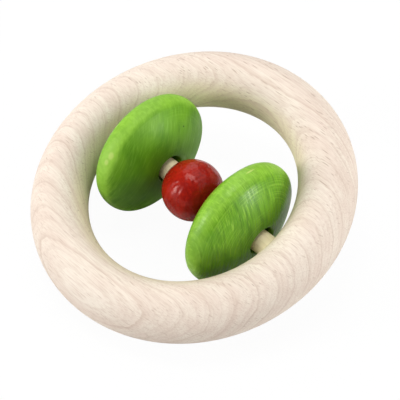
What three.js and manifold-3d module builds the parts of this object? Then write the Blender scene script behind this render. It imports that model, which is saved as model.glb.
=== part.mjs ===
// A wooden rattle ring: a round grip ring with a dowel glued across its opening.
// Two lens-shaped discs and a ball are threaded on the dowel and clack when it is shaken.
// It lies as it does on a table: on the rims of both discs and on one side of the ring.
// Millimetres, +Z up, +X along the dowel, origin on the table below the ring's centre.
import * as THREE from "three";
import { mergeVertices } from "three/addons/utils/BufferGeometryUtils.js";
import Module from "manifold-3d";

const wasm = await Module();
wasm.setup();

// Ring
const ringOuterDiameter = 86;
const tubeDiameter = 15.2;

// Dowel: it goes right through the ring's -X side and ends inside the +X side
const dowelDiameter = 6;
const dowelInset = 8; // depth of the blind end, from the ring's inner wall
const dowelOffset = 0.4; // the hole is drilled this far from the ring's centre
const glueGap = 0.3; // between the dowel and its holes, all round and at the blind end

// Gaps along the dowel's axis, from one wall of the ring to the other, as the pieces lie.
// They are measured to the crowns of the ball and the discs, as if these had no holes.
const leftWallGap = 3.05;
const leftBallGap = 0.55;
const rightBallGap = 0.5;
const rightWallGap = 2.4;

// Discs: they fill the room that the ball and the gaps leave them in the ring
const rimClearance = 1.85; // between the edge of a disc's rim and the inside of the ring
const rimWidth = 5.3; // the band between the two domed faces
const rimBow = 0.8; // how far the band bows out past the edges of the faces
const discHolePlay = 1.8; // hole diameter over dowel diameter
const discSeatGap = 0.6; // between the dowel and the bottom of an upright disc's hole
const leftDiscShift = 0.2; // off the dowel's axis, towards the raised side of the ring
const rightDiscShift = 0.1;
const rightDiscLean = 1.0; // degrees, its +X face turned a little towards the table
const rightDiscYaw = 0.9; // degrees, that face turned a little towards the raised side of the ring

// Ball
const ballDiameter = 16.3;
const ballHolePlay = 1.5;
const ballSeatGap = 0.25; // between the dowel and the top of the hole that it hangs by
const ballShift = -0.2; // off the dowel's axis, towards the side of the ring on the table

// Broken edges of the drilled holes
const holeChamfer = 0.4;

// Facets
const ringSteps = 64;
const tubeSteps = 24;
const discSteps = 40;
const faceSteps = 7;
const rimSteps = 4;
const ballSteps = 32;
const ballArcSteps = 14;
const dowelSteps = 32;

// Derived sizes
const tubeRadius = tubeDiameter / 2;
const ringRadius = ringOuterDiameter / 2 - tubeRadius; // to the tube's centre line
const ringInnerRadius = ringRadius - tubeRadius;
const dowelRadius = dowelDiameter / 2;
const dowelEnd = ringInnerRadius + dowelInset;
const ballRadius = ballDiameter / 2;
const ballHoleRadius = (dowelDiameter + ballHolePlay) / 2;
const discHoleRadius = (dowelDiameter + discHolePlay) / 2;

// What lies where along the dowel, measured from the ring's centre
const gapsOnDowel = leftWallGap + leftBallGap + rightBallGap + rightWallGap;
const discThickness = (2 * ringInnerRadius - ballDiameter - gapsOnDowel) / 2;
const leftDiscPlace = leftWallGap + discThickness / 2 - ringInnerRadius;
const rightDiscPlace = ringInnerRadius - rightWallGap - discThickness / 2;
const ballPlace = leftDiscPlace + discThickness / 2 + leftBallGap + ballRadius;

// The rim of the outer of the two discs clears the inside of the ring
const rimReach = Math.max(-leftDiscPlace, rightDiscPlace) + rimWidth / 2;
const discEdgeRadius = Math.sqrt((ringInnerRadius - rimClearance) ** 2 - rimReach ** 2);
const discRadius = discEdgeRadius + rimBow;

// How it lies: the discs stand on the table, the dowel lies low in their holes,
// and the ring tips about the dowel until one side of it meets the table.
const discHeight = discRadius;
const dowelHeight = discHeight - (discHoleRadius - dowelRadius - discSeatGap);
const ringTilt = Math.asin((dowelHeight - tubeRadius) / (ringRadius + dowelOffset));
const ringHeight = tubeRadius + ringRadius * Math.sin(ringTilt);
const dowelY = dowelOffset * Math.cos(ringTilt);
const ballHeight = dowelHeight - (ballHoleRadius - dowelRadius - ballSeatGap);

const beech = new THREE.MeshStandardMaterial({ color: 0xe6d6c0, roughness: 0.7, metalness: 0 });
const dowelWood = new THREE.MeshStandardMaterial({ color: 0xd8c39c, roughness: 0.65, metalness: 0 });
const greenStain = new THREE.MeshStandardMaterial({ color: 0x6d9a35, roughness: 0.4, metalness: 0 });
const redLacquer = new THREE.MeshStandardMaterial({ color: 0x9a2418, roughness: 0.25, metalness: 0 });

// Booleans

function solidOf(geometry) {
  const plain = geometry.clone();
  plain.deleteAttribute("normal");
  plain.deleteAttribute("uv");
  const merged = mergeVertices(plain, 1e-4);
  const vertProperties = new Float32Array(merged.attributes.position.array);
  const triVerts = new Uint32Array(merged.index.array);
  return new wasm.Manifold(new wasm.Mesh({ numProp: 3, vertProperties, triVerts }));
}

function geometryOf(solid) {
  const mesh = solid.getMesh();
  const geometry = new THREE.BufferGeometry();
  geometry.setAttribute("position", new THREE.BufferAttribute(mesh.vertProperties, 3));
  geometry.setIndex(new THREE.BufferAttribute(mesh.triVerts, 1));
  geometry.computeVertexNormals();
  return geometry;
}

// Profiles, as (distance from the axis, place along the axis)

function arcPoints(centreX, centreY, radius, fromAngle, toAngle, steps) {
  const points = [];
  for (let i = 0; i <= steps; i++) {
    const angle = THREE.MathUtils.lerp(fromAngle, toAngle, i / steps);
    points.push(new THREE.Vector2(centreX + radius * Math.cos(angle), centreY + radius * Math.sin(angle)));
  }
  return points;
}

// The radius of an arc from its chord and its height
function arcRadius(halfChord, height) {
  return (halfChord * halfChord + height * height) / (2 * height);
}

// Closes an outer profile, which runs from the hole's lower edge to its upper one, down the hole
function boredProfile(outer, holeRadius) {
  const top = outer[outer.length - 1].y;
  const points = [...outer];
  points.push(new THREE.Vector2(holeRadius, top - holeChamfer));
  points.push(new THREE.Vector2(holeRadius, holeChamfer - top));
  points.push(outer[0].clone());
  return points;
}

// Two domed faces that meet a bowed rim band in a soft edge
function discProfile() {
  const domeHeight = (discThickness - rimWidth) / 2;
  const domeRadius = arcRadius(discEdgeRadius, domeHeight);
  const domeCentre = discThickness / 2 - domeRadius;
  const mouthRadius = discHoleRadius + holeChamfer;
  const edgeAngle = Math.acos(discEdgeRadius / domeRadius);
  const mouthAngle = Math.acos(mouthRadius / domeRadius);
  const bowRadius = arcRadius(rimWidth / 2, rimBow);
  const bowAngle = Math.asin(rimWidth / 2 / bowRadius);
  const lowerFace = arcPoints(0, -domeCentre, domeRadius, -mouthAngle, -edgeAngle, faceSteps);
  const band = arcPoints(discRadius - bowRadius, 0, bowRadius, -bowAngle, bowAngle, rimSteps);
  const upperFace = arcPoints(0, domeCentre, domeRadius, edgeAngle, mouthAngle, faceSteps);
  return boredProfile([...lowerFace, ...band.slice(1, -1), ...upperFace], discHoleRadius);
}

function ballProfile() {
  const mouthAngle = Math.acos((ballHoleRadius + holeChamfer) / ballRadius);
  return boredProfile(arcPoints(0, 0, ballRadius, -mouthAngle, mouthAngle, ballArcSteps), ballHoleRadius);
}

// Shapes, with their axis along +Z for the ring and along +X for the pieces on the dowel

function turnedAlongX(profile, steps) {
  return new THREE.LatheGeometry(profile, steps).rotateZ(-Math.PI / 2);
}

function rodAlongX(radius, fromX, toX) {
  const rod = new THREE.CylinderGeometry(radius, radius, toX - fromX, dowelSteps);
  rod.rotateZ(-Math.PI / 2);
  return rod.translate((fromX + toX) / 2, dowelOffset, 0);
}

function ringGeometry() {
  const section = arcPoints(ringRadius, 0, tubeRadius, 0, 2 * Math.PI, tubeSteps);
  const torus = solidOf(new THREE.LatheGeometry(section, ringSteps).rotateX(Math.PI / 2));
  const bore = solidOf(rodAlongX(dowelRadius + glueGap, -ringOuterDiameter, dowelEnd + glueGap));
  return geometryOf(torus.subtract(bore));
}

// The dowel's -X end is sanded flush with the outside of the ring
function dowelGeometry() {
  const rim = arcPoints(ringRadius, 0, tubeRadius, -Math.PI / 2, Math.PI / 2, tubeSteps / 2);
  const below = new THREE.Vector2(0, -tubeRadius);
  const above = new THREE.Vector2(0, tubeRadius);
  const outside = new THREE.LatheGeometry([below, ...rim, above], ringSteps).rotateX(Math.PI / 2);
  const rod = rodAlongX(dowelRadius, -ringOuterDiameter, dowelEnd);
  return geometryOf(solidOf(rod).intersect(solidOf(outside)));
}

function namedMesh(name, geometry, material) {
  const mesh = new THREE.Mesh(geometry, material);
  mesh.name = name;
  return mesh;
}

// Assembly

const rattle = new THREE.Group();

const frame = new THREE.Group();
frame.position.z = ringHeight;
frame.rotation.x = ringTilt;
frame.add(namedMesh("grip_ring", ringGeometry(), beech));
frame.add(namedMesh("axle_dowel", dowelGeometry(), dowelWood));
rattle.add(frame);

const discs = [
  { name: "left_disc", place: leftDiscPlace, shift: leftDiscShift, lean: 0, yaw: 0 },
  {
    name: "right_disc",
    place: rightDiscPlace,
    shift: rightDiscShift,
    lean: rightDiscLean,
    yaw: rightDiscYaw,
  },
];
for (const { name, place, shift, lean, yaw } of discs) {
  const disc = namedMesh(name, turnedAlongX(discProfile(), discSteps), greenStain);
  disc.position.set(place, dowelY + shift, discHeight);
  disc.rotation.y = THREE.MathUtils.degToRad(lean);
  disc.rotation.z = THREE.MathUtils.degToRad(yaw);
  rattle.add(disc);
}

const ball = namedMesh("centre_ball", turnedAlongX(ballProfile(), ballSteps), redLacquer);
ball.position.set(ballPlace, dowelY + ballShift, ballHeight);
rattle.add(ball);

export default rattle;
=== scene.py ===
# The looks of a wooden rattle ring: a bare beech ring with a dowel across it,
# two discs stained green and a ball lacquered red, lying on a white table.
# The frame is the CAD model's: metres, +Z up, +X along the dowel, origin on the table.
# Sizes are given in millimetres and angles in degrees, unless a comment says otherwise.
import math

import bmesh
import bpy
from mathutils import Matrix, Vector


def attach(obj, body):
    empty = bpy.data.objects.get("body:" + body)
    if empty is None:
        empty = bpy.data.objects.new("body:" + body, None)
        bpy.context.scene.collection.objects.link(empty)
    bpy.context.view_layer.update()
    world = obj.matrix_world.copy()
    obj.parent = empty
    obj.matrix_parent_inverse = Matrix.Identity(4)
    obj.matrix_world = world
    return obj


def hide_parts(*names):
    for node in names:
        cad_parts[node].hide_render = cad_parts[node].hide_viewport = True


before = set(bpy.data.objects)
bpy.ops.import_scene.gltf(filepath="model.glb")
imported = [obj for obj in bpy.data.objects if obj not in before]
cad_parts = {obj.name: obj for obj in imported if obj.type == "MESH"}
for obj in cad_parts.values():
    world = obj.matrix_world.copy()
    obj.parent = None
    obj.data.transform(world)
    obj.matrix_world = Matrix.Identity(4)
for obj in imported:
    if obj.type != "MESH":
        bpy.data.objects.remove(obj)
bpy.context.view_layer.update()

MM = 0.001
FULL_TURN = 2 * math.pi
ALONG_DOWEL = (1.0, 0.0, 0.0)
ACROSS_DOWEL = (0.0, 1.0, 1.0)
IN_RING_PLANE = (1.0, 1.0, 0.0)
TO_RAISED_SIDE = (0.0, 1.0, 0.0)

# Ring and dowel, as in the CAD model
RING_OUTER_DIAMETER = 86.0
TUBE_DIAMETER = 15.2
DOWEL_DIAMETER = 6.0
DOWEL_INSET = 8.0             # depth of the blind end, from the ring's inner wall
DOWEL_OFFSET = 0.4            # the hole is drilled this far from the ring's centre

# Gaps along the dowel's axis, from one wall of the ring to the other
LEFT_WALL_GAP = 3.05
LEFT_BALL_GAP = 0.55
RIGHT_BALL_GAP = 0.5
RIGHT_WALL_GAP = 2.4

# Discs
RIM_CLEARANCE = 1.85          # between the edge of a disc's rim and the inside of the ring
RIM_WIDTH = 5.3               # the band between the two domed faces
RIM_BOW = 0.8                 # how far the band bows out past the edges of the faces
DISC_HOLE_PLAY = 1.8          # hole diameter over dowel diameter
DISC_SEAT_GAP = 0.6           # between the dowel and the bottom of an upright disc's hole
LEFT_DISC_SHIFT = 0.2         # off the dowel's axis, towards the raised side of the ring
RIGHT_DISC_SHIFT = 0.1
RIGHT_DISC_LEAN = 1.0         # its +X face turned a little towards the table
RIGHT_DISC_YAW = 0.9          # that face turned a little towards the raised side of the ring

# Ball
BALL_DIAMETER = 16.3
BALL_HOLE_PLAY = 1.5
BALL_SEAT_GAP = 0.25          # between the dowel and the top of the hole that it hangs by
BALL_SHIFT = -0.2             # off the dowel's axis, towards the side of the ring on the table

# Finer shapes
GLUE_LINE = 0.07              # dark line between the dowel and the holes that it is glued into
DOWEL_BEVEL = 0.3             # at the blind end
LEFT_CREASE_SOFTNESS = 0.7    # reach of the rounding between a disc's face and its rim band
RIGHT_CREASE_SOFTNESS = 1.1
DISC_MOUTH_SOFTNESS = 0.6     # reach of the rounding at the mouths of a hole
BALL_MOUTH_SOFTNESS = 0.25

# Mesh steps
RING_STEPS = 288
TUBE_STEPS = 96
TURNED_STEPS = 192
ARC_STEPS = 36
BAND_STEPS = 12
ROUNDING_STEPS = 6
DOWEL_STEPS = 96
CAP_STEPS = 12
DOWEL_ROWS = (-30.0, -15.0, 0.0, 15.0, 30.0)   # along the dowel, between its two ends
SHARP_EDGE = 35.0             # least angle between two faces that meet in a sharp edge

# Derived sizes
tube_radius = TUBE_DIAMETER / 2
ring_radius = RING_OUTER_DIAMETER / 2 - tube_radius
ring_inner_radius = ring_radius - tube_radius
dowel_radius = DOWEL_DIAMETER / 2
dowel_end = ring_inner_radius + DOWEL_INSET
ball_radius = BALL_DIAMETER / 2
ball_hole_radius = (DOWEL_DIAMETER + BALL_HOLE_PLAY) / 2
disc_hole_radius = (DOWEL_DIAMETER + DISC_HOLE_PLAY) / 2

# What lies where along the dowel
gaps_on_dowel = LEFT_WALL_GAP + LEFT_BALL_GAP + RIGHT_BALL_GAP + RIGHT_WALL_GAP
disc_thickness = (2 * ring_inner_radius - BALL_DIAMETER - gaps_on_dowel) / 2
left_disc_place = LEFT_WALL_GAP + disc_thickness / 2 - ring_inner_radius
right_disc_place = ring_inner_radius - RIGHT_WALL_GAP - disc_thickness / 2
ball_place = left_disc_place + disc_thickness / 2 + LEFT_BALL_GAP + ball_radius
rim_reach = max(-left_disc_place, right_disc_place) + RIM_WIDTH / 2
disc_edge_radius = math.sqrt((ring_inner_radius - RIM_CLEARANCE) ** 2 - rim_reach ** 2)
disc_radius = disc_edge_radius + RIM_BOW

# How it lies: on the rims of both discs and on one side of the ring, which is tipped about the dowel.
# The tilt is in radians.
dowel_height = disc_radius - (disc_hole_radius - dowel_radius - DISC_SEAT_GAP)
ring_tilt = math.asin((dowel_height - tube_radius) / (ring_radius + DOWEL_OFFSET))
ring_height = tube_radius + ring_radius * math.sin(ring_tilt)
dowel_y = DOWEL_OFFSET * math.cos(ring_tilt)
ball_height = dowel_height - (ball_hole_radius - dowel_radius - BALL_SEAT_GAP)


# Meshes

def mesh_object(name, points, faces):
    """A smooth mesh object from points in millimetres."""
    mesh = bpy.data.meshes.new(name)
    mesh.from_pydata([Vector(p) * MM for p in points], [], faces)
    mesh.validate()
    mesh.shade_smooth()
    piece = bpy.data.objects.new(name, mesh)
    bpy.context.collection.objects.link(piece)
    return piece


def circle(steps):
    """Sine and cosine of each of the angles that share out a full turn."""
    angles = [FULL_TURN * i / steps for i in range(steps)]
    return [(math.sin(angle), math.cos(angle)) for angle in angles]


def grid_faces(rows, columns, close_rows):
    """Quads of a grid of points that is closed along its columns."""
    faces = []
    for row in range(rows if close_rows else rows - 1):
        after = (row + 1) % rows
        for column in range(columns):
            beside = (column + 1) % columns
            faces.append((row * columns + column, after * columns + column,
                          after * columns + beside, row * columns + beside))
    return faces


def arc(centre, radius, start, end, steps):
    """Points (distance from the axis, place along it) on an arc round a centre."""
    points = []
    for i in range(steps + 1):
        angle = start + (end - start) * i / steps
        points.append((centre[0] + radius * math.cos(angle), centre[1] + radius * math.sin(angle)))
    return points


def arc_radius(half_chord, height):
    return (half_chord ** 2 + height ** 2) / (2 * height)


def point_at(line, reach):
    """The point at a distance along a line of points, and what is left of the line from there."""
    for i in range(len(line) - 1):
        a, b = Vector(line[i]), Vector(line[i + 1])
        step = (b - a).length
        if step >= reach:
            cut = a.lerp(b, reach / step)
            return cut, [tuple(cut)] + line[i + 1:]
        reach -= step
    return Vector(line[-1]), [line[-1]]


def joined(before, after, reach):
    """Two lines of points that meet in a corner, with the corner rounded."""
    corner = Vector(after[0])
    start, kept_before = point_at(before[::-1], reach)
    end, kept_after = point_at(after, reach)
    bend = []
    for i in range(1, ROUNDING_STEPS):
        t = i / ROUNDING_STEPS
        bend.append(tuple(start.lerp(corner, t).lerp(corner.lerp(end, t), t)))
    return kept_before[::-1] + bend + kept_after


def mirrored(half):
    """A closed profile from the half of it on the + side of the middle."""
    other = [(r, -h) for r, h in half[-2:0:-1]]
    return half + other


def turned(name, profile):
    """A body turned round the X axis from a closed profile."""
    points = []
    for sine, cosine in circle(TURNED_STEPS):
        for r, h in profile:
            points.append((h, r * sine, r * cosine))
    return mesh_object(name, points, grid_faces(TURNED_STEPS, len(profile), True))


def disc_profile(crease_softness):
    """Half a hole, a domed face and half a bowed rim band, mirrored."""
    dome_height = (disc_thickness - RIM_WIDTH) / 2
    dome_radius = arc_radius(disc_edge_radius, dome_height)
    dome_centre = disc_thickness / 2 - dome_radius
    mouth_angle = math.acos(disc_hole_radius / dome_radius)
    edge_angle = math.acos(disc_edge_radius / dome_radius)
    bow_radius = arc_radius(RIM_WIDTH / 2, RIM_BOW)
    bow_angle = math.asin(RIM_WIDTH / 2 / bow_radius)
    face = arc((0, dome_centre), dome_radius, mouth_angle, edge_angle, ARC_STEPS)
    band = arc((disc_radius - bow_radius, 0), bow_radius, bow_angle, 0, BAND_STEPS)
    hole = [(disc_hole_radius, 0), (disc_hole_radius, face[0][1] / 2), face[0]]
    half = joined(joined(hole, face, DISC_MOUTH_SOFTNESS), band, crease_softness)
    return mirrored(half)


def ball_profile():
    mouth_angle = math.acos(ball_hole_radius / ball_radius)
    outside = arc((0, 0), ball_radius, mouth_angle, 0, ARC_STEPS)
    hole = [(ball_hole_radius, 0), (ball_hole_radius, outside[0][1] / 2), outside[0]]
    return mirrored(joined(hole, outside, BALL_MOUTH_SOFTNESS))


def plain_ring():
    points = []
    for around_sine, around_cosine in circle(RING_STEPS):
        for across_sine, across_cosine in circle(TUBE_STEPS):
            r = ring_radius + tube_radius * across_cosine
            points.append((r * around_cosine, r * around_sine, tube_radius * across_sine))
    return mesh_object("beech_ring", points, grid_faces(RING_STEPS, TUBE_STEPS, True))


def straight_row(radius, x):
    """A circle of points round the dowel's axis."""
    return [(x, DOWEL_OFFSET + radius * sine, radius * cosine) for sine, cosine in circle(DOWEL_STEPS)]


def flush_row(radius):
    """A circle of points round the dowel's axis, moved to the outside of the ring on its -X side."""
    row = []
    for _, y, z in straight_row(radius, 0.0):
        r = ring_radius + math.sqrt(tube_radius ** 2 - z ** 2)
        row.append((-math.sqrt(r ** 2 - y ** 2), y, z))
    return row


def rod(name, rows):
    """A rod along X from circles of points, closed at both ends."""
    points = [point for row in rows for point in row]
    last = (len(rows) - 1) * DOWEL_STEPS
    faces = grid_faces(len(rows), DOWEL_STEPS, False)
    faces.append(tuple(range(DOWEL_STEPS)))
    faces.append(tuple(range(last + DOWEL_STEPS - 1, last - 1, -1)))
    return mesh_object(name, points, faces)


def bore_cutter():
    """A rod as wide as the dowel's hole, from outside the ring to the hole's blind end."""
    radius = dowel_radius + GLUE_LINE
    ends = (-RING_OUTER_DIAMETER, dowel_end + GLUE_LINE)
    cutter = rod("bore_cutter", [straight_row(radius, x) for x in ends])
    mesh = bmesh.new()
    mesh.from_mesh(cutter.data)
    bmesh.ops.recalc_face_normals(mesh, faces=mesh.faces)
    mesh.to_mesh(cutter.data)
    mesh.free()
    return cutter


def bored_ring():
    ring = plain_ring()
    cutter = bore_cutter()
    cut = ring.modifiers.new("bore", "BOOLEAN")
    cut.operation = "DIFFERENCE"
    cut.solver = "EXACT"
    cut.object = cutter
    evaluated = ring.evaluated_get(bpy.context.evaluated_depsgraph_get())
    bored = bpy.data.meshes.new_from_object(evaluated)
    ring.modifiers.clear()
    ring.data = bored
    bpy.data.objects.remove(cutter)
    bored.shade_smooth()
    bored.set_sharp_from_angle(angle=math.radians(SHARP_EDGE))
    return ring


def dowel():
    """A rod whose -X end is sanded flush with the outside of the ring."""
    rows = [flush_row(dowel_radius * i / CAP_STEPS) for i in range(1, CAP_STEPS + 1)]
    rows += [straight_row(dowel_radius, x) for x in DOWEL_ROWS]
    rows.append(straight_row(dowel_radius, dowel_end - DOWEL_BEVEL))
    rows.append(straight_row(dowel_radius - DOWEL_BEVEL, dowel_end))
    piece = rod("cross_dowel", rows)
    piece.data.set_sharp_from_angle(angle=math.radians(SHARP_EDGE))
    return piece


# Materials

OWN_PLACE = "own_place"       # the attribute that holds each point's place in its piece's own frame
MIX_A = 6                     # sockets of a Mix node that take and give colours
MIX_B = 7
MIX_RESULT = 2
SOFT_CORE = 0.4               # part of a spindle's or spot's reach in which it is at full strength
LAYER_END = 0.94              # part of a growth layer after which its dark line drops off


class Shader:
    """A material with a Principled shader and short ways to add nodes to it."""

    def __init__(self, name):
        self.material = bpy.data.materials.new(name)
        self.material.use_nodes = True
        self.tree = self.material.node_tree
        self.principled = self.tree.nodes["Principled BSDF"]

    def node(self, kind, inputs, **settings):
        node = self.tree.nodes.new(kind)
        for name, value in settings.items():
            setattr(node, name, value)
        for socket, value in inputs.items():
            self.put(node.inputs[socket], value)
        return node

    def put(self, socket, value):
        if isinstance(value, bpy.types.NodeSocket):
            self.tree.links.new(value, socket)
        else:
            socket.default_value = value

    def set(self, values):
        """Sets inputs of the Principled shader."""
        for name, value in values.items():
            self.put(self.principled.inputs[name], value)

    def bump(self, height, depth, strength):
        inputs = {"Height": height, "Distance": depth * MM, "Strength": strength}
        self.set({"Normal": self.node("ShaderNodeBump", inputs).outputs["Normal"]})

    def place(self):
        """The piece's own coordinates in millimetres, before it was put in its place."""
        return self.node("ShaderNodeAttribute", {}, attribute_name=OWN_PLACE).outputs["Vector"]

    def facing(self):
        return self.node("ShaderNodeNewGeometry", {}).outputs["Normal"]

    def vector(self, operation, a, b):
        return self.node("ShaderNodeVectorMath", {0: a, 1: b}, operation=operation).outputs["Vector"]

    def dot(self, a, b):
        return self.node("ShaderNodeVectorMath", {0: a, 1: b}, operation="DOT_PRODUCT").outputs["Value"]

    def length(self, a):
        return self.node("ShaderNodeVectorMath", {0: a}, operation="LENGTH").outputs["Value"]

    def measured(self, place, along, across, through):
        """The place as measured along three directions."""
        parts = {"X": self.dot(place, along), "Y": self.dot(place, across), "Z": self.dot(place, through)}
        return self.node("ShaderNodeCombineXYZ", parts).outputs["Vector"]

    def math(self, operation, a, b=0.0):
        return self.node("ShaderNodeMath", {0: a, 1: b}, operation=operation).outputs["Value"]

    def product(self, a, b):
        return self.math("MULTIPLY", a, b)

    def weighted(self, *parts):
        """The sum of values, each times its weight."""
        total = None
        for value, weight in parts:
            part = value if weight == 1 else self.product(value, weight)
            total = part if total is None else self.math("ADD", total, part)
        return total

    def span(self, value, low, high, to_low=0.0, to_high=1.0):
        """Maps low..high smoothly to to_low..to_high."""
        inputs = {"Value": value, "From Min": low, "From Max": high, "To Min": to_low, "To Max": to_high}
        return self.node("ShaderNodeMapRange", inputs, interpolation_type="SMOOTHSTEP").outputs["Result"]

    def noise(self, place, size, detail=2.0, roughness=0.5):
        """Noise whose blobs measure about size along each axis."""
        stretched = self.vector("DIVIDE", place, size)
        inputs = {"Vector": stretched, "Scale": 1.0, "Detail": detail, "Roughness": roughness}
        return self.node("ShaderNodeTexNoise", inputs).outputs["Fac"]

    def noise_along(self, value, size, detail=1.0, roughness=0.5):
        """Noise that varies with one measure alone, in steps of about size."""
        steps = self.math("DIVIDE", value, size)
        inputs = {"W": steps, "Scale": 1.0, "Detail": detail, "Roughness": roughness}
        return self.node("ShaderNodeTexNoise", inputs, noise_dimensions="1D").outputs["Fac"]

    def dashes(self, place, size, share, thickness):
        """Scattered spindles, one in each cell of the given size, in a share of the cells."""
        stretched = self.vector("DIVIDE", place, size)
        cells = self.node("ShaderNodeTexVoronoi", {"Vector": stretched, "Scale": 1.0})
        spindle = self.span(cells.outputs["Distance"], thickness, thickness * SOFT_CORE)
        pick = self.node("ShaderNodeSeparateColor", {"Color": cells.outputs["Color"]}).outputs["Red"]
        return self.product(spindle, self.math("LESS_THAN", pick, share))

    def spot(self, place, centre, size):
        """A soft spot of the given half sizes round one place."""
        offset = self.vector("DIVIDE", self.vector("SUBTRACT", place, centre), size)
        return self.span(self.length(offset), 1.0, SOFT_CORE)

    def layers(self, depth, spacing, sharpness):
        """Growth layers: each rises slowly to a dark line, then drops at once."""
        part = self.math("FRACT", self.math("DIVIDE", depth, spacing))
        return self.product(self.math("POWER", part, sharpness), self.span(part, 1.0, LAYER_END))

    def tint(self, colour, other, mask, strength=1.0):
        """A colour that goes over to another one where the mask is high."""
        node = self.node("ShaderNodeMix", {}, data_type="RGBA")
        self.put(node.inputs["Factor"], mask if strength == 1 else self.product(mask, strength))
        self.put(node.inputs[MIX_A], colour)
        self.put(node.inputs[MIX_B], other)
        return node.outputs[MIX_RESULT]


BEECH_LIGHT = (0.89, 0.793, 0.68, 1)
BEECH_PINK = (0.825, 0.698, 0.595, 1)
# painted bounce light from the green discs, for the ring's inner wall
BEECH_DISC_BOUNCE = (0.80, 0.70, 0.42, 1)
BEECH_LINE = (0.61, 0.455, 0.36, 1)
BEECH_FLECK = (0.46, 0.32, 0.235, 1)
BEECH_FIBRE = (1.0, 0.0, 0.0)
BEECH_LAYER_NORMAL = (0.03, -0.60, 0.80)
BEECH_RAY_NORMAL = (0.0, 0.80, 0.60)
BEECH_LAYER_SPACING = 3.14
BEECH_FINE_SPACING = 0.31 * BEECH_LAYER_SPACING
BEECH_LAYER_START = 0.17      # moves all layers along their normal
BEECH_VESSEL_GAIN = 0.006     # how much more vessels show per millimetre towards the raised side
BEECH_DISC_BOUNCE_START = 3.8       # how far inside the tube's centre line the painted bounce light begins

# Waves that bend the growth layers: size, detail and height
BEECH_WAVES = [
    ((30.0, 10.0, 10.0), 2.0, 2.2),
    ((5.0, 1.4, 1.4), 2.0, 0.5),
    ((1.8, 0.5, 0.5), 1.0, 0.22),
]


def beech():
    shader = Shader("beech")
    place = shader.place()

    # Dark lines that come and go, with finer ones between them
    depth = shader.math("ADD", shader.dot(place, BEECH_LAYER_NORMAL), BEECH_LAYER_START)
    for size, detail, height in BEECH_WAVES:
        depth = shader.weighted((depth, 1), (shader.noise(place, size, detail), height))
    fade = shader.span(shader.noise(place, (12.0, 5.0, 5.0)), 0.3, 0.65, to_low=0.45)
    layer = shader.product(shader.layers(depth, BEECH_LAYER_SPACING, sharpness=10.0), fade)
    fine_layer = shader.layers(depth, BEECH_FINE_SPACING, sharpness=2.5)

    tone = shader.noise_along(depth, 2.4, detail=2.0)
    patch = shader.noise(place, (14.0, 4.0, 4.0), detail=3.0)
    pinkness = shader.span(shader.weighted((tone, 0.5), (patch, 0.5)), 0.38, 0.62)
    fibre = shader.noise(place, (5.0, 0.30, 0.30), detail=4.0, roughness=0.65)
    streak = shader.span(shader.noise(place, (8.0, 0.45, 0.45)), 0.58, 0.74)

    # Vessels are threads, which show only where the surface runs along the fibre,
    # and more on the raised side of the ring.
    cut_across = shader.math("ABSOLUTE", shader.dot(shader.facing(), BEECH_FIBRE))
    along_fibre = shader.span(cut_across, 0.50, 0.15)
    region = shader.noise(place, (30.0, 12.0, 12.0))
    region = shader.weighted((region, 1), (shader.dot(place, TO_RAISED_SIDE), BEECH_VESSEL_GAIN))
    region = shader.span(region, 0.36, 0.62, to_low=0.15)
    vessels = shader.dashes(place, (7.0, 0.6, 0.6), share=0.9, thickness=0.26)
    vessels = shader.product(shader.product(vessels, along_fibre), region)

    # Rays are ribbons that stand across the growth layers
    ribbons = shader.measured(place, BEECH_FIBRE, BEECH_LAYER_NORMAL, BEECH_RAY_NORMAL)
    rays = shader.dashes(ribbons, (7.0, 2.6, 0.55), share=0.8, thickness=0.22)

    # The inside of the ring is painted yellower: painted bounce light from the green discs on its shaded
    # wall
    from_axis = shader.length(shader.vector("MULTIPLY", place, IN_RING_PLANE))
    inside = shader.span(from_axis, ring_radius - BEECH_DISC_BOUNCE_START, ring_inner_radius)

    colour = shader.tint(BEECH_LIGHT, BEECH_PINK, pinkness)
    # painted bounce light on the inner wall
    colour = shader.tint(colour, BEECH_DISC_BOUNCE, inside, strength=0.6)
    colour = shader.tint(colour, BEECH_LINE, layer, strength=0.95)
    colour = shader.tint(colour, BEECH_LINE, fine_layer, strength=0.24)
    colour = shader.tint(colour, BEECH_LINE, shader.span(fibre, 0.42, 0.74), strength=0.50)
    colour = shader.tint(colour, BEECH_FLECK, streak, strength=0.16)
    colour = shader.tint(colour, BEECH_FLECK, vessels, strength=0.70)
    colour = shader.tint(colour, BEECH_FLECK, rays, strength=0.40)
    roughness = shader.span(fibre, 0.2, 0.8, to_low=0.52, to_high=0.68)
    shader.set({"Base Color": colour, "Roughness": roughness, "Specular IOR Level": 0.3})
    shader.bump(shader.weighted((fibre, 0.6), (vessels, -0.5), (layer, -0.3)), depth=0.05, strength=0.5)
    return shader.material


DOWEL_LIGHT = (0.90, 0.79, 0.50, 1)
DOWEL_DARK = (0.72, 0.59, 0.34, 1)
DOWEL_END_GRAIN = (0.54, 0.39, 0.26, 1)
DOWEL_LAYER_NORMAL = (0.02, 0.8, 0.6)
DOWEL_LAYER_SPACING = 1.3


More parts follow.
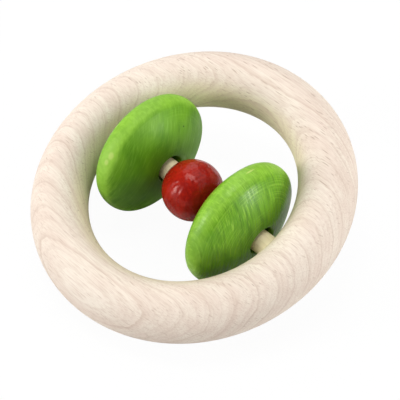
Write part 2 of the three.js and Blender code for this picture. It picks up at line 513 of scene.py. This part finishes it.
def dowel_wood():
    shader = Shader("dowel_wood")
    place = shader.place()
    wander = shader.noise(place, (18.0, 3.0, 3.0))
    depth = shader.weighted((shader.dot(place, DOWEL_LAYER_NORMAL), 1), (wander, 1.2))
    layer = shader.layers(depth, DOWEL_LAYER_SPACING, sharpness=3.0)
    fibre = shader.noise(place, (5.0, 0.18, 0.18), detail=4.0, roughness=0.6)
    pores = shader.dashes(place, (3.5, 0.45, 0.45), share=0.5, thickness=0.2)
    colour = shader.tint(DOWEL_LIGHT, DOWEL_DARK, layer, strength=0.5)
    colour = shader.tint(colour, DOWEL_DARK, shader.span(fibre, 0.45, 0.75), strength=0.4)
    colour = shader.tint(colour, DOWEL_DARK, pores, strength=0.4)

    # End grain is darker, and its cut vessels show as dots
    cut_across = shader.math("ABSOLUTE", shader.dot(shader.facing(), ALONG_DOWEL))
    end = shader.span(cut_across, 0.6, 0.85)
    dots = shader.span(shader.noise(place, (4.0, 0.22, 0.22), detail=1.0), 0.45, 0.65, to_low=0.60)
    colour = shader.tint(colour, DOWEL_END_GRAIN, shader.product(end, dots))
    roughness = shader.span(fibre, 0.2, 0.8, to_low=0.48, to_high=0.64)
    shader.set({"Base Color": colour, "Roughness": roughness, "Specular IOR Level": 0.4})
    shader.bump(shader.weighted((fibre, 1), (pores, -0.6)), depth=0.03, strength=0.5)
    return shader.material


GREEN_BRIGHT = (0.172, 0.420, 0.013, 1)
GREEN_DEEP = (0.112, 0.310, 0.008, 1)
# also used for painted shade on the discs
GREEN_PORE_AND_SHADE = (0.040, 0.120, 0.004, 1)
# also used for painted highlights and sheen on the discs
GREEN_WEAR_AND_HIGHLIGHT = (0.360, 0.660, 0.070, 1)
# also used for a painted glint
GREEN_BARE_AND_GLINT = (0.620, 0.720, 0.200, 1)
SCRATCH_RUN = (0.0, 0.5, 0.87)
SCRATCH_SIDE = (0.0, -0.87, 0.5)
HUB_DARK_RADIUS = 4.0         # the painted shade is darkest this near to the axis of the hole
HUB_REACH = 14.0              # and no darker than elsewhere from here on
RIM_FADE_START = 1.2          # the rim's own finish begins this far inside its edge
RIM_FADE_END = 0.1            # and is complete this far inside it
BAND_OVERLAP = 0.4            # how far the band's lighter colour, thin stain and painted light, reaches past the crease
BAND_FADE = 1.0               # how far inside the crease it is complete
CREASE_REACH = 1.0            # how far to either side of the crease the stain is worn

# Marks and painted light and shade on each disc: place in its own frame, half sizes, colour and strength
LEFT_DISC_MARKS_AND_PAINTED_LIGHT = [
    # painted shade low on the face, between the disc, the ball and the table
    ((4.9, -4.5, -8.2), (7.0, 11.0, 9.0), GREEN_PORE_AND_SHADE, 0.44),
    # painted highlight along the rim
    ((0.9, -17.0, 1.0), (3.0, 3.0, 8.0), GREEN_WEAR_AND_HIGHLIGHT, 0.45),
    # painted sheen on the upper face
    ((3.5, -11.5, 10.0), (5.0, 7.0, 7.0), GREEN_WEAR_AND_HIGHLIGHT, 0.14),
    ((5.55, 1.15, 11.65), (0.45, 0.35, 0.35), GREEN_PORE_AND_SHADE, 1.0),
    ((1.2, -17.3, 1.3), (1.0, 1.0, 1.4), GREEN_BARE_AND_GLINT, 0.46),
    ((0.7, -17.4, -0.9), (0.8, 0.8, 1.1), GREEN_BARE_AND_GLINT, 0.44),
]
RIGHT_DISC_MARKS_AND_PAINTED_LIGHT = [
    # painted shade low on the face, where the ring and the table shade it
    ((4.0, -12.9, -2.7), (6.0, 7.0, 9.0), GREEN_PORE_AND_SHADE, 0.40),
    # deeper painted shade near the lower edge of the face
    ((2.0, -15.0, 5.5), (5.0, 6.0, 8.0), GREEN_DEEP, 0.35),
    # a thin pale line on the crease: a nick with a painted glint along it
    ((-0.15, 2.0, 17.35), (0.30, 2.0, 1.2), GREEN_BARE_AND_GLINT, 0.6),
]


def green_stain(name, grain, roughness_range, marks_and_painted_light):
    """Stained wood whose grain shows through by an amount from 0 to 1."""
    shader = Shader(name)
    place = shader.place()
    fibre = shader.noise(place, (5.0, 0.42, 16.0), detail=1.0)
    fine_fibre = shader.noise(place, (2.0, 0.28, 4.5), roughness=0.6)
    lines = shader.noise(place, (4.0, 0.8, 12.0), detail=1.0)
    streak = shader.noise(place, (8.0, 1.8, 24.0))
    patch = shader.noise(place, (5.0, 5.0, 9.0), detail=3.0)
    pores = shader.dashes(place, (2.5, 0.5, 6.0), share=0.5, thickness=0.2)
    slanted = shader.measured(place, ALONG_DOWEL, SCRATCH_RUN, SCRATCH_SIDE)
    scratches = shader.dashes(slanted, (8.0, 6.0, 0.6), share=0.3, thickness=0.2)

    # Turning marks run in circles round the dowel
    radial = shader.length(shader.vector("MULTIPLY", place, ACROSS_DOWEL))
    turning = shader.noise_along(radial, 0.42, roughness=0.6)
    kept = shader.span(shader.noise(place, (7.0, 7.0, 7.0)), 0.40, 0.62)
    turning_lines = shader.product(shader.span(turning, 0.50, 0.64), kept)

    # The rim band is lighter by thin stain and painted light, the crease is worn, and round the hole is
    # painted shade
    across = shader.math("ABSOLUTE", shader.dot(place, ALONG_DOWEL))
    crease_place = RIM_WIDTH / 2
    on_rim = shader.span(radial, disc_edge_radius - RIM_FADE_START, disc_edge_radius - RIM_FADE_END)
    band = shader.span(across, crease_place + BAND_OVERLAP, crease_place - BAND_FADE)
    band = shader.product(band, on_rim)
    mottle = shader.span(shader.noise(place, (1.1, 1.1, 1.1), detail=3.0), 0.42, 0.62)
    from_crease = shader.math("ABSOLUTE", shader.math("SUBTRACT", across, crease_place))
    crease = shader.product(shader.span(from_crease, CREASE_REACH, 0.0), on_rim)
    worn = shader.span(shader.noise(place, (2.4, 2.4, 2.4), detail=3.0), 0.45, 0.68)
    hub_shade = shader.span(radial, HUB_REACH, HUB_DARK_RADIUS)

    stain = shader.weighted((patch, 1.1 - 0.7 * grain), (streak, 0.35 * grain), (fibre, 0.35 * grain))
    colour = shader.tint(GREEN_BRIGHT, GREEN_DEEP, shader.span(stain, 0.42, 0.70))
    colour = shader.tint(colour, GREEN_PORE_AND_SHADE, shader.span(fibre, 0.50, 0.72), strength=0.22 * grain)
    colour = shader.tint(colour, GREEN_PORE_AND_SHADE, shader.span(lines, 0.50, 0.66), strength=0.26 * grain)
    thin = shader.span(fine_fibre, 0.50, 0.30)
    colour = shader.tint(colour, GREEN_WEAR_AND_HIGHLIGHT, thin, strength=0.12 + 0.53 * grain)
    colour = shader.tint(colour, GREEN_WEAR_AND_HIGHLIGHT, turning_lines, strength=0.36 * grain)
    colour = shader.tint(colour, GREEN_WEAR_AND_HIGHLIGHT, scratches, strength=0.22)
    colour = shader.tint(colour, GREEN_PORE_AND_SHADE, pores, strength=0.16)
    # painted shade round the hole
    colour = shader.tint(colour, GREEN_PORE_AND_SHADE, hub_shade, strength=0.45)
    # the rim band lighter: partly thin stain, partly painted light
    colour = shader.tint(colour, GREEN_WEAR_AND_HIGHLIGHT, band, strength=0.42)
    colour = shader.tint(colour, GREEN_WEAR_AND_HIGHLIGHT, shader.product(band, mottle), strength=0.24)
    colour = shader.tint(colour, GREEN_WEAR_AND_HIGHLIGHT, shader.product(crease, worn), strength=0.25)
    # real marks, and painted shade, highlights, sheen and glint
    for centre, size, mark_colour, strength in marks_and_painted_light:
        colour = shader.tint(colour, mark_colour, shader.spot(place, centre, size), strength)

    smooth, rough = roughness_range
    roughness = shader.span(fine_fibre, 0.3, 0.7, to_low=smooth, to_high=rough)
    roughness = shader.weighted((roughness, 1), (band, 0.08))
    shader.set({"Base Color": colour, "Roughness": roughness, "Specular IOR Level": 0.26})
    pebbles = shader.product(shader.noise(place, (0.55, 0.55, 0.55), detail=0.0), band)
    height = shader.weighted((fibre, 0.25), (fine_fibre, 0.4), (turning, 0.15 + 0.25 * grain), (pebbles, 1))
    shader.bump(height, depth=0.07, strength=0.6)
    return shader.material


RED_DEEP = (0.288, 0.0070, 0.0035, 1)
RED_BRIGHT = (0.405, 0.0130, 0.0050, 1)
RED_PIT = (0.080, 0.0030, 0.0020, 1)
# painted shade near the mouths of the ball's hole, where the discs shade it
RED_MOUTH_SHADE = (0.170, 0.0040, 0.0020, 1)
RED_GLINT = (1.0, 0.72, 0.68, 1)
MOUTH_SHADE_START = 3.0       # along the hole, from the ball's middle
MOUTH_SHADE_END = 7.6


def red_lacquer():
    shader = Shader("red_lacquer")
    place = shader.place()
    fibre = shader.noise(place, (0.6, 0.6, 6.0))
    patch = shader.noise(place, (4.0, 4.0, 7.0), detail=3.0)
    ripples = shader.noise(place, (1.1, 1.1, 1.7), detail=0.0)
    pits = shader.dashes(place, (0.7, 0.7, 1.6), share=0.20, thickness=0.22)
    cover = shader.weighted((fibre, 0.5), (patch, 0.5))

    # Painted shade round the mouths of the hole, where the discs shade the ball
    to_mouth = shader.math("ABSOLUTE", shader.dot(place, ALONG_DOWEL))
    mouths = shader.span(to_mouth, MOUTH_SHADE_START, MOUTH_SHADE_END)
    colour = shader.tint(RED_BRIGHT, RED_DEEP, shader.span(cover, 0.38, 0.62))
    # painted shade
    colour = shader.tint(colour, RED_MOUTH_SHADE, mouths, strength=0.8)
    colour = shader.tint(colour, RED_PIT, pits, strength=0.25)
    roughness = shader.span(patch, 0.3, 0.7, to_low=0.21, to_high=0.29)
    shader.set({"Base Color": colour, "Roughness": roughness})
    shader.set({"Specular IOR Level": 0.30, "Specular Tint": RED_GLINT})
    shader.bump(shader.weighted((ripples, 1), (pits, -0.1)), depth=0.15, strength=1.0)
    return shader.material


# Pieces

# Finish of each disc: how much grain shows, the range of its roughness,
# and how far its grain is turned about the dowel
LEFT_GRAIN = 0.3
LEFT_ROUGHNESS = (0.38, 0.52)
LEFT_SPIN = -30.0
RIGHT_GRAIN = 1.0
RIGHT_ROUGHNESS = (0.24, 0.38)
RIGHT_SPIN = -2.0


def at(x, y, z):
    return Matrix.Translation(Vector((x, y, z)) * MM)


def turn(degrees, axis):
    return Matrix.Rotation(math.radians(degrees), 4, axis)


def keep_own_place(mesh):
    """Stores each point's place in the piece's own frame, which carries the grain."""
    own = mesh.attributes.new(OWN_PLACE, "FLOAT_VECTOR", "POINT")
    for point, stored in zip(mesh.vertices, own.data):
        stored.vector = point.co / MM


def place_piece(piece, material, transform, body, node):
    keep_own_place(piece.data)
    piece.data.transform(transform)
    piece.data.materials.clear()
    piece.data.materials.append(material)
    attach(piece, body)
    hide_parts(node)


tipped = at(0, 0, ring_height) @ turn(math.degrees(ring_tilt), "X")
place_piece(bored_ring(), beech(), tipped, body="frame", node="grip_ring")
place_piece(dowel(), dowel_wood(), tipped, body="frame", node="axle_dowel")

left_disc = turned("green_disc_left", disc_profile(LEFT_CREASE_SOFTNESS))
left_green = green_stain("green_stain_left", LEFT_GRAIN, LEFT_ROUGHNESS, LEFT_DISC_MARKS_AND_PAINTED_LIGHT)
left_at = at(left_disc_place, dowel_y + LEFT_DISC_SHIFT, disc_radius) @ turn(LEFT_SPIN, "X")
place_piece(left_disc, left_green, left_at, body="left_disc", node="left_disc")

right_disc = turned("green_disc_right", disc_profile(RIGHT_CREASE_SOFTNESS))
right_green = green_stain("green_stain_right", RIGHT_GRAIN, RIGHT_ROUGHNESS, RIGHT_DISC_MARKS_AND_PAINTED_LIGHT)
right_stance = turn(RIGHT_DISC_LEAN, "Y") @ turn(RIGHT_DISC_YAW, "Z")
right_at = at(right_disc_place, dowel_y + RIGHT_DISC_SHIFT, disc_radius) @ right_stance
right_at = right_at @ turn(RIGHT_SPIN, "X")
place_piece(right_disc, right_green, right_at, body="right_disc", node="right_disc")

red_ball = turned("red_ball", ball_profile())
ball_at = at(ball_place, dowel_y + BALL_SHIFT, ball_height)
place_piece(red_ball, red_lacquer(), ball_at, body="ball", node="centre_ball")


# Table, light and camera

TABLE_SIZE = 8.0              # metres
TABLE_WHITE = 0.95            # its colour where it is seen, directly or in a reflection
TABLE_GREY = 0.65             # its colour where it throws light back on the object
TABLE_LIFT = 0.96             # how far its shade is lifted to white where it is seen directly
WORLD_LEVEL = 0.13

# Lamps: azimuth and elevation, width and height in metres, and watts
LAMP_DISTANCE = 1.0           # metres
LAMPS = {
    "top_light": (-165, 82, 0.32, 0.60, 3.5),
    "left_light": (-119, 20, 0.35, 0.60, 6.4),
    "back_light": (150, 35, 0.80, 0.80, 2.9),
    "far_light": (90, 65, 0.80, 0.80, 2.0),
    "right_light": (20, 35, 0.80, 0.80, 2.6),
    "low_light": (26, 9, 0.30, 0.30, 3.4),
}

CAMERA_LENS = 103.44
CAMERA_SENSOR = 36.0
CAMERA_CLIP_START = 0.01      # metres
CAMERA_AZIMUTH = -44.56
CAMERA_ELEVATION = 47.67
CAMERA_DISTANCE = 298.7
CAMERA_AIM = (3.14, 0.16, 15.23)
CAMERA_ROLL = 1.32


def table_paper():
    shader = Shader("table_white")
    shader.tree.nodes.remove(shader.principled)
    path = shader.node("ShaderNodeLightPath", {}).outputs
    directly = path["Is Camera Ray"]
    seen = directly
    for kind in ("Is Glossy Ray", "Is Transmission Ray"):
        seen = shader.math("MAXIMUM", seen, path[kind])
    shade_range = {"Value": seen, "To Min": TABLE_GREY, "To Max": TABLE_WHITE}
    shade = shader.node("ShaderNodeMapRange", shade_range).outputs["Result"]
    paper = shader.node("ShaderNodeBsdfDiffuse", {"Color": shade}).outputs["BSDF"]
    white = shader.node("ShaderNodeEmission", {"Strength": 1.0}).outputs["Emission"]
    lift = shader.product(directly, TABLE_LIFT)
    mixed = shader.node("ShaderNodeMixShader", {"Fac": lift, 1: paper, 2: white}).outputs["Shader"]
    shader.put(shader.tree.nodes["Material Output"].inputs["Surface"], mixed)
    return shader.material


def white_table():
    half = TABLE_SIZE / 2
    corners = [(-half, -half, 0), (half, -half, 0), (half, half, 0), (-half, half, 0)]
    mesh = bpy.data.meshes.new("table")
    mesh.from_pydata(corners, [], [(0, 1, 2, 3)])
    mesh.materials.append(table_paper())
    table = bpy.data.objects.new("table", mesh)
    bpy.context.collection.objects.link(table)


def studio_world():
    world = bpy.data.worlds.new("studio")
    bpy.context.scene.world = world
    world.use_nodes = True
    background = world.node_tree.nodes["Background"]
    background.inputs["Color"].default_value = (1, 1, 1, 1)
    background.inputs["Strength"].default_value = WORLD_LEVEL


def direction(azimuth, elevation):
    """From the object, azimuth measured from +X towards +Y."""
    a, e = math.radians(azimuth), math.radians(elevation)
    return Vector((math.cos(e) * math.cos(a), math.cos(e) * math.sin(a), math.sin(e)))


def softbox(name, azimuth, elevation, width, height, watts):
    light = bpy.data.lights.new(name, "AREA")
    light.shape = "ELLIPSE"
    light.size = width
    light.size_y = height
    light.energy = watts
    lamp = bpy.data.objects.new(name, light)
    towards = direction(azimuth, elevation)
    lamp.location = towards * LAMP_DISTANCE
    lamp.rotation_euler = towards.to_track_quat("Z", "Y").to_euler()
    bpy.context.collection.objects.link(lamp)


def photo_camera():
    data = bpy.data.cameras.new("camera")
    data.lens = CAMERA_LENS
    data.sensor_width = CAMERA_SENSOR
    data.clip_start = CAMERA_CLIP_START
    camera = bpy.data.objects.new("camera", data)
    back = direction(CAMERA_AZIMUTH, CAMERA_ELEVATION)
    level = back.to_track_quat("Z", "Y").to_matrix().to_4x4()
    stand = Matrix.Translation(Vector(CAMERA_AIM) * MM + back * CAMERA_DISTANCE * MM)
    camera.matrix_world = stand @ level @ turn(CAMERA_ROLL, "Z")
    bpy.context.collection.objects.link(camera)
    bpy.context.scene.camera = camera


white_table()
studio_world()
for lamp_name, lamp_settings in LAMPS.items():
    softbox(lamp_name, *lamp_settings)
photo_camera()
bpy.context.scene.view_settings.view_transform = "Standard"
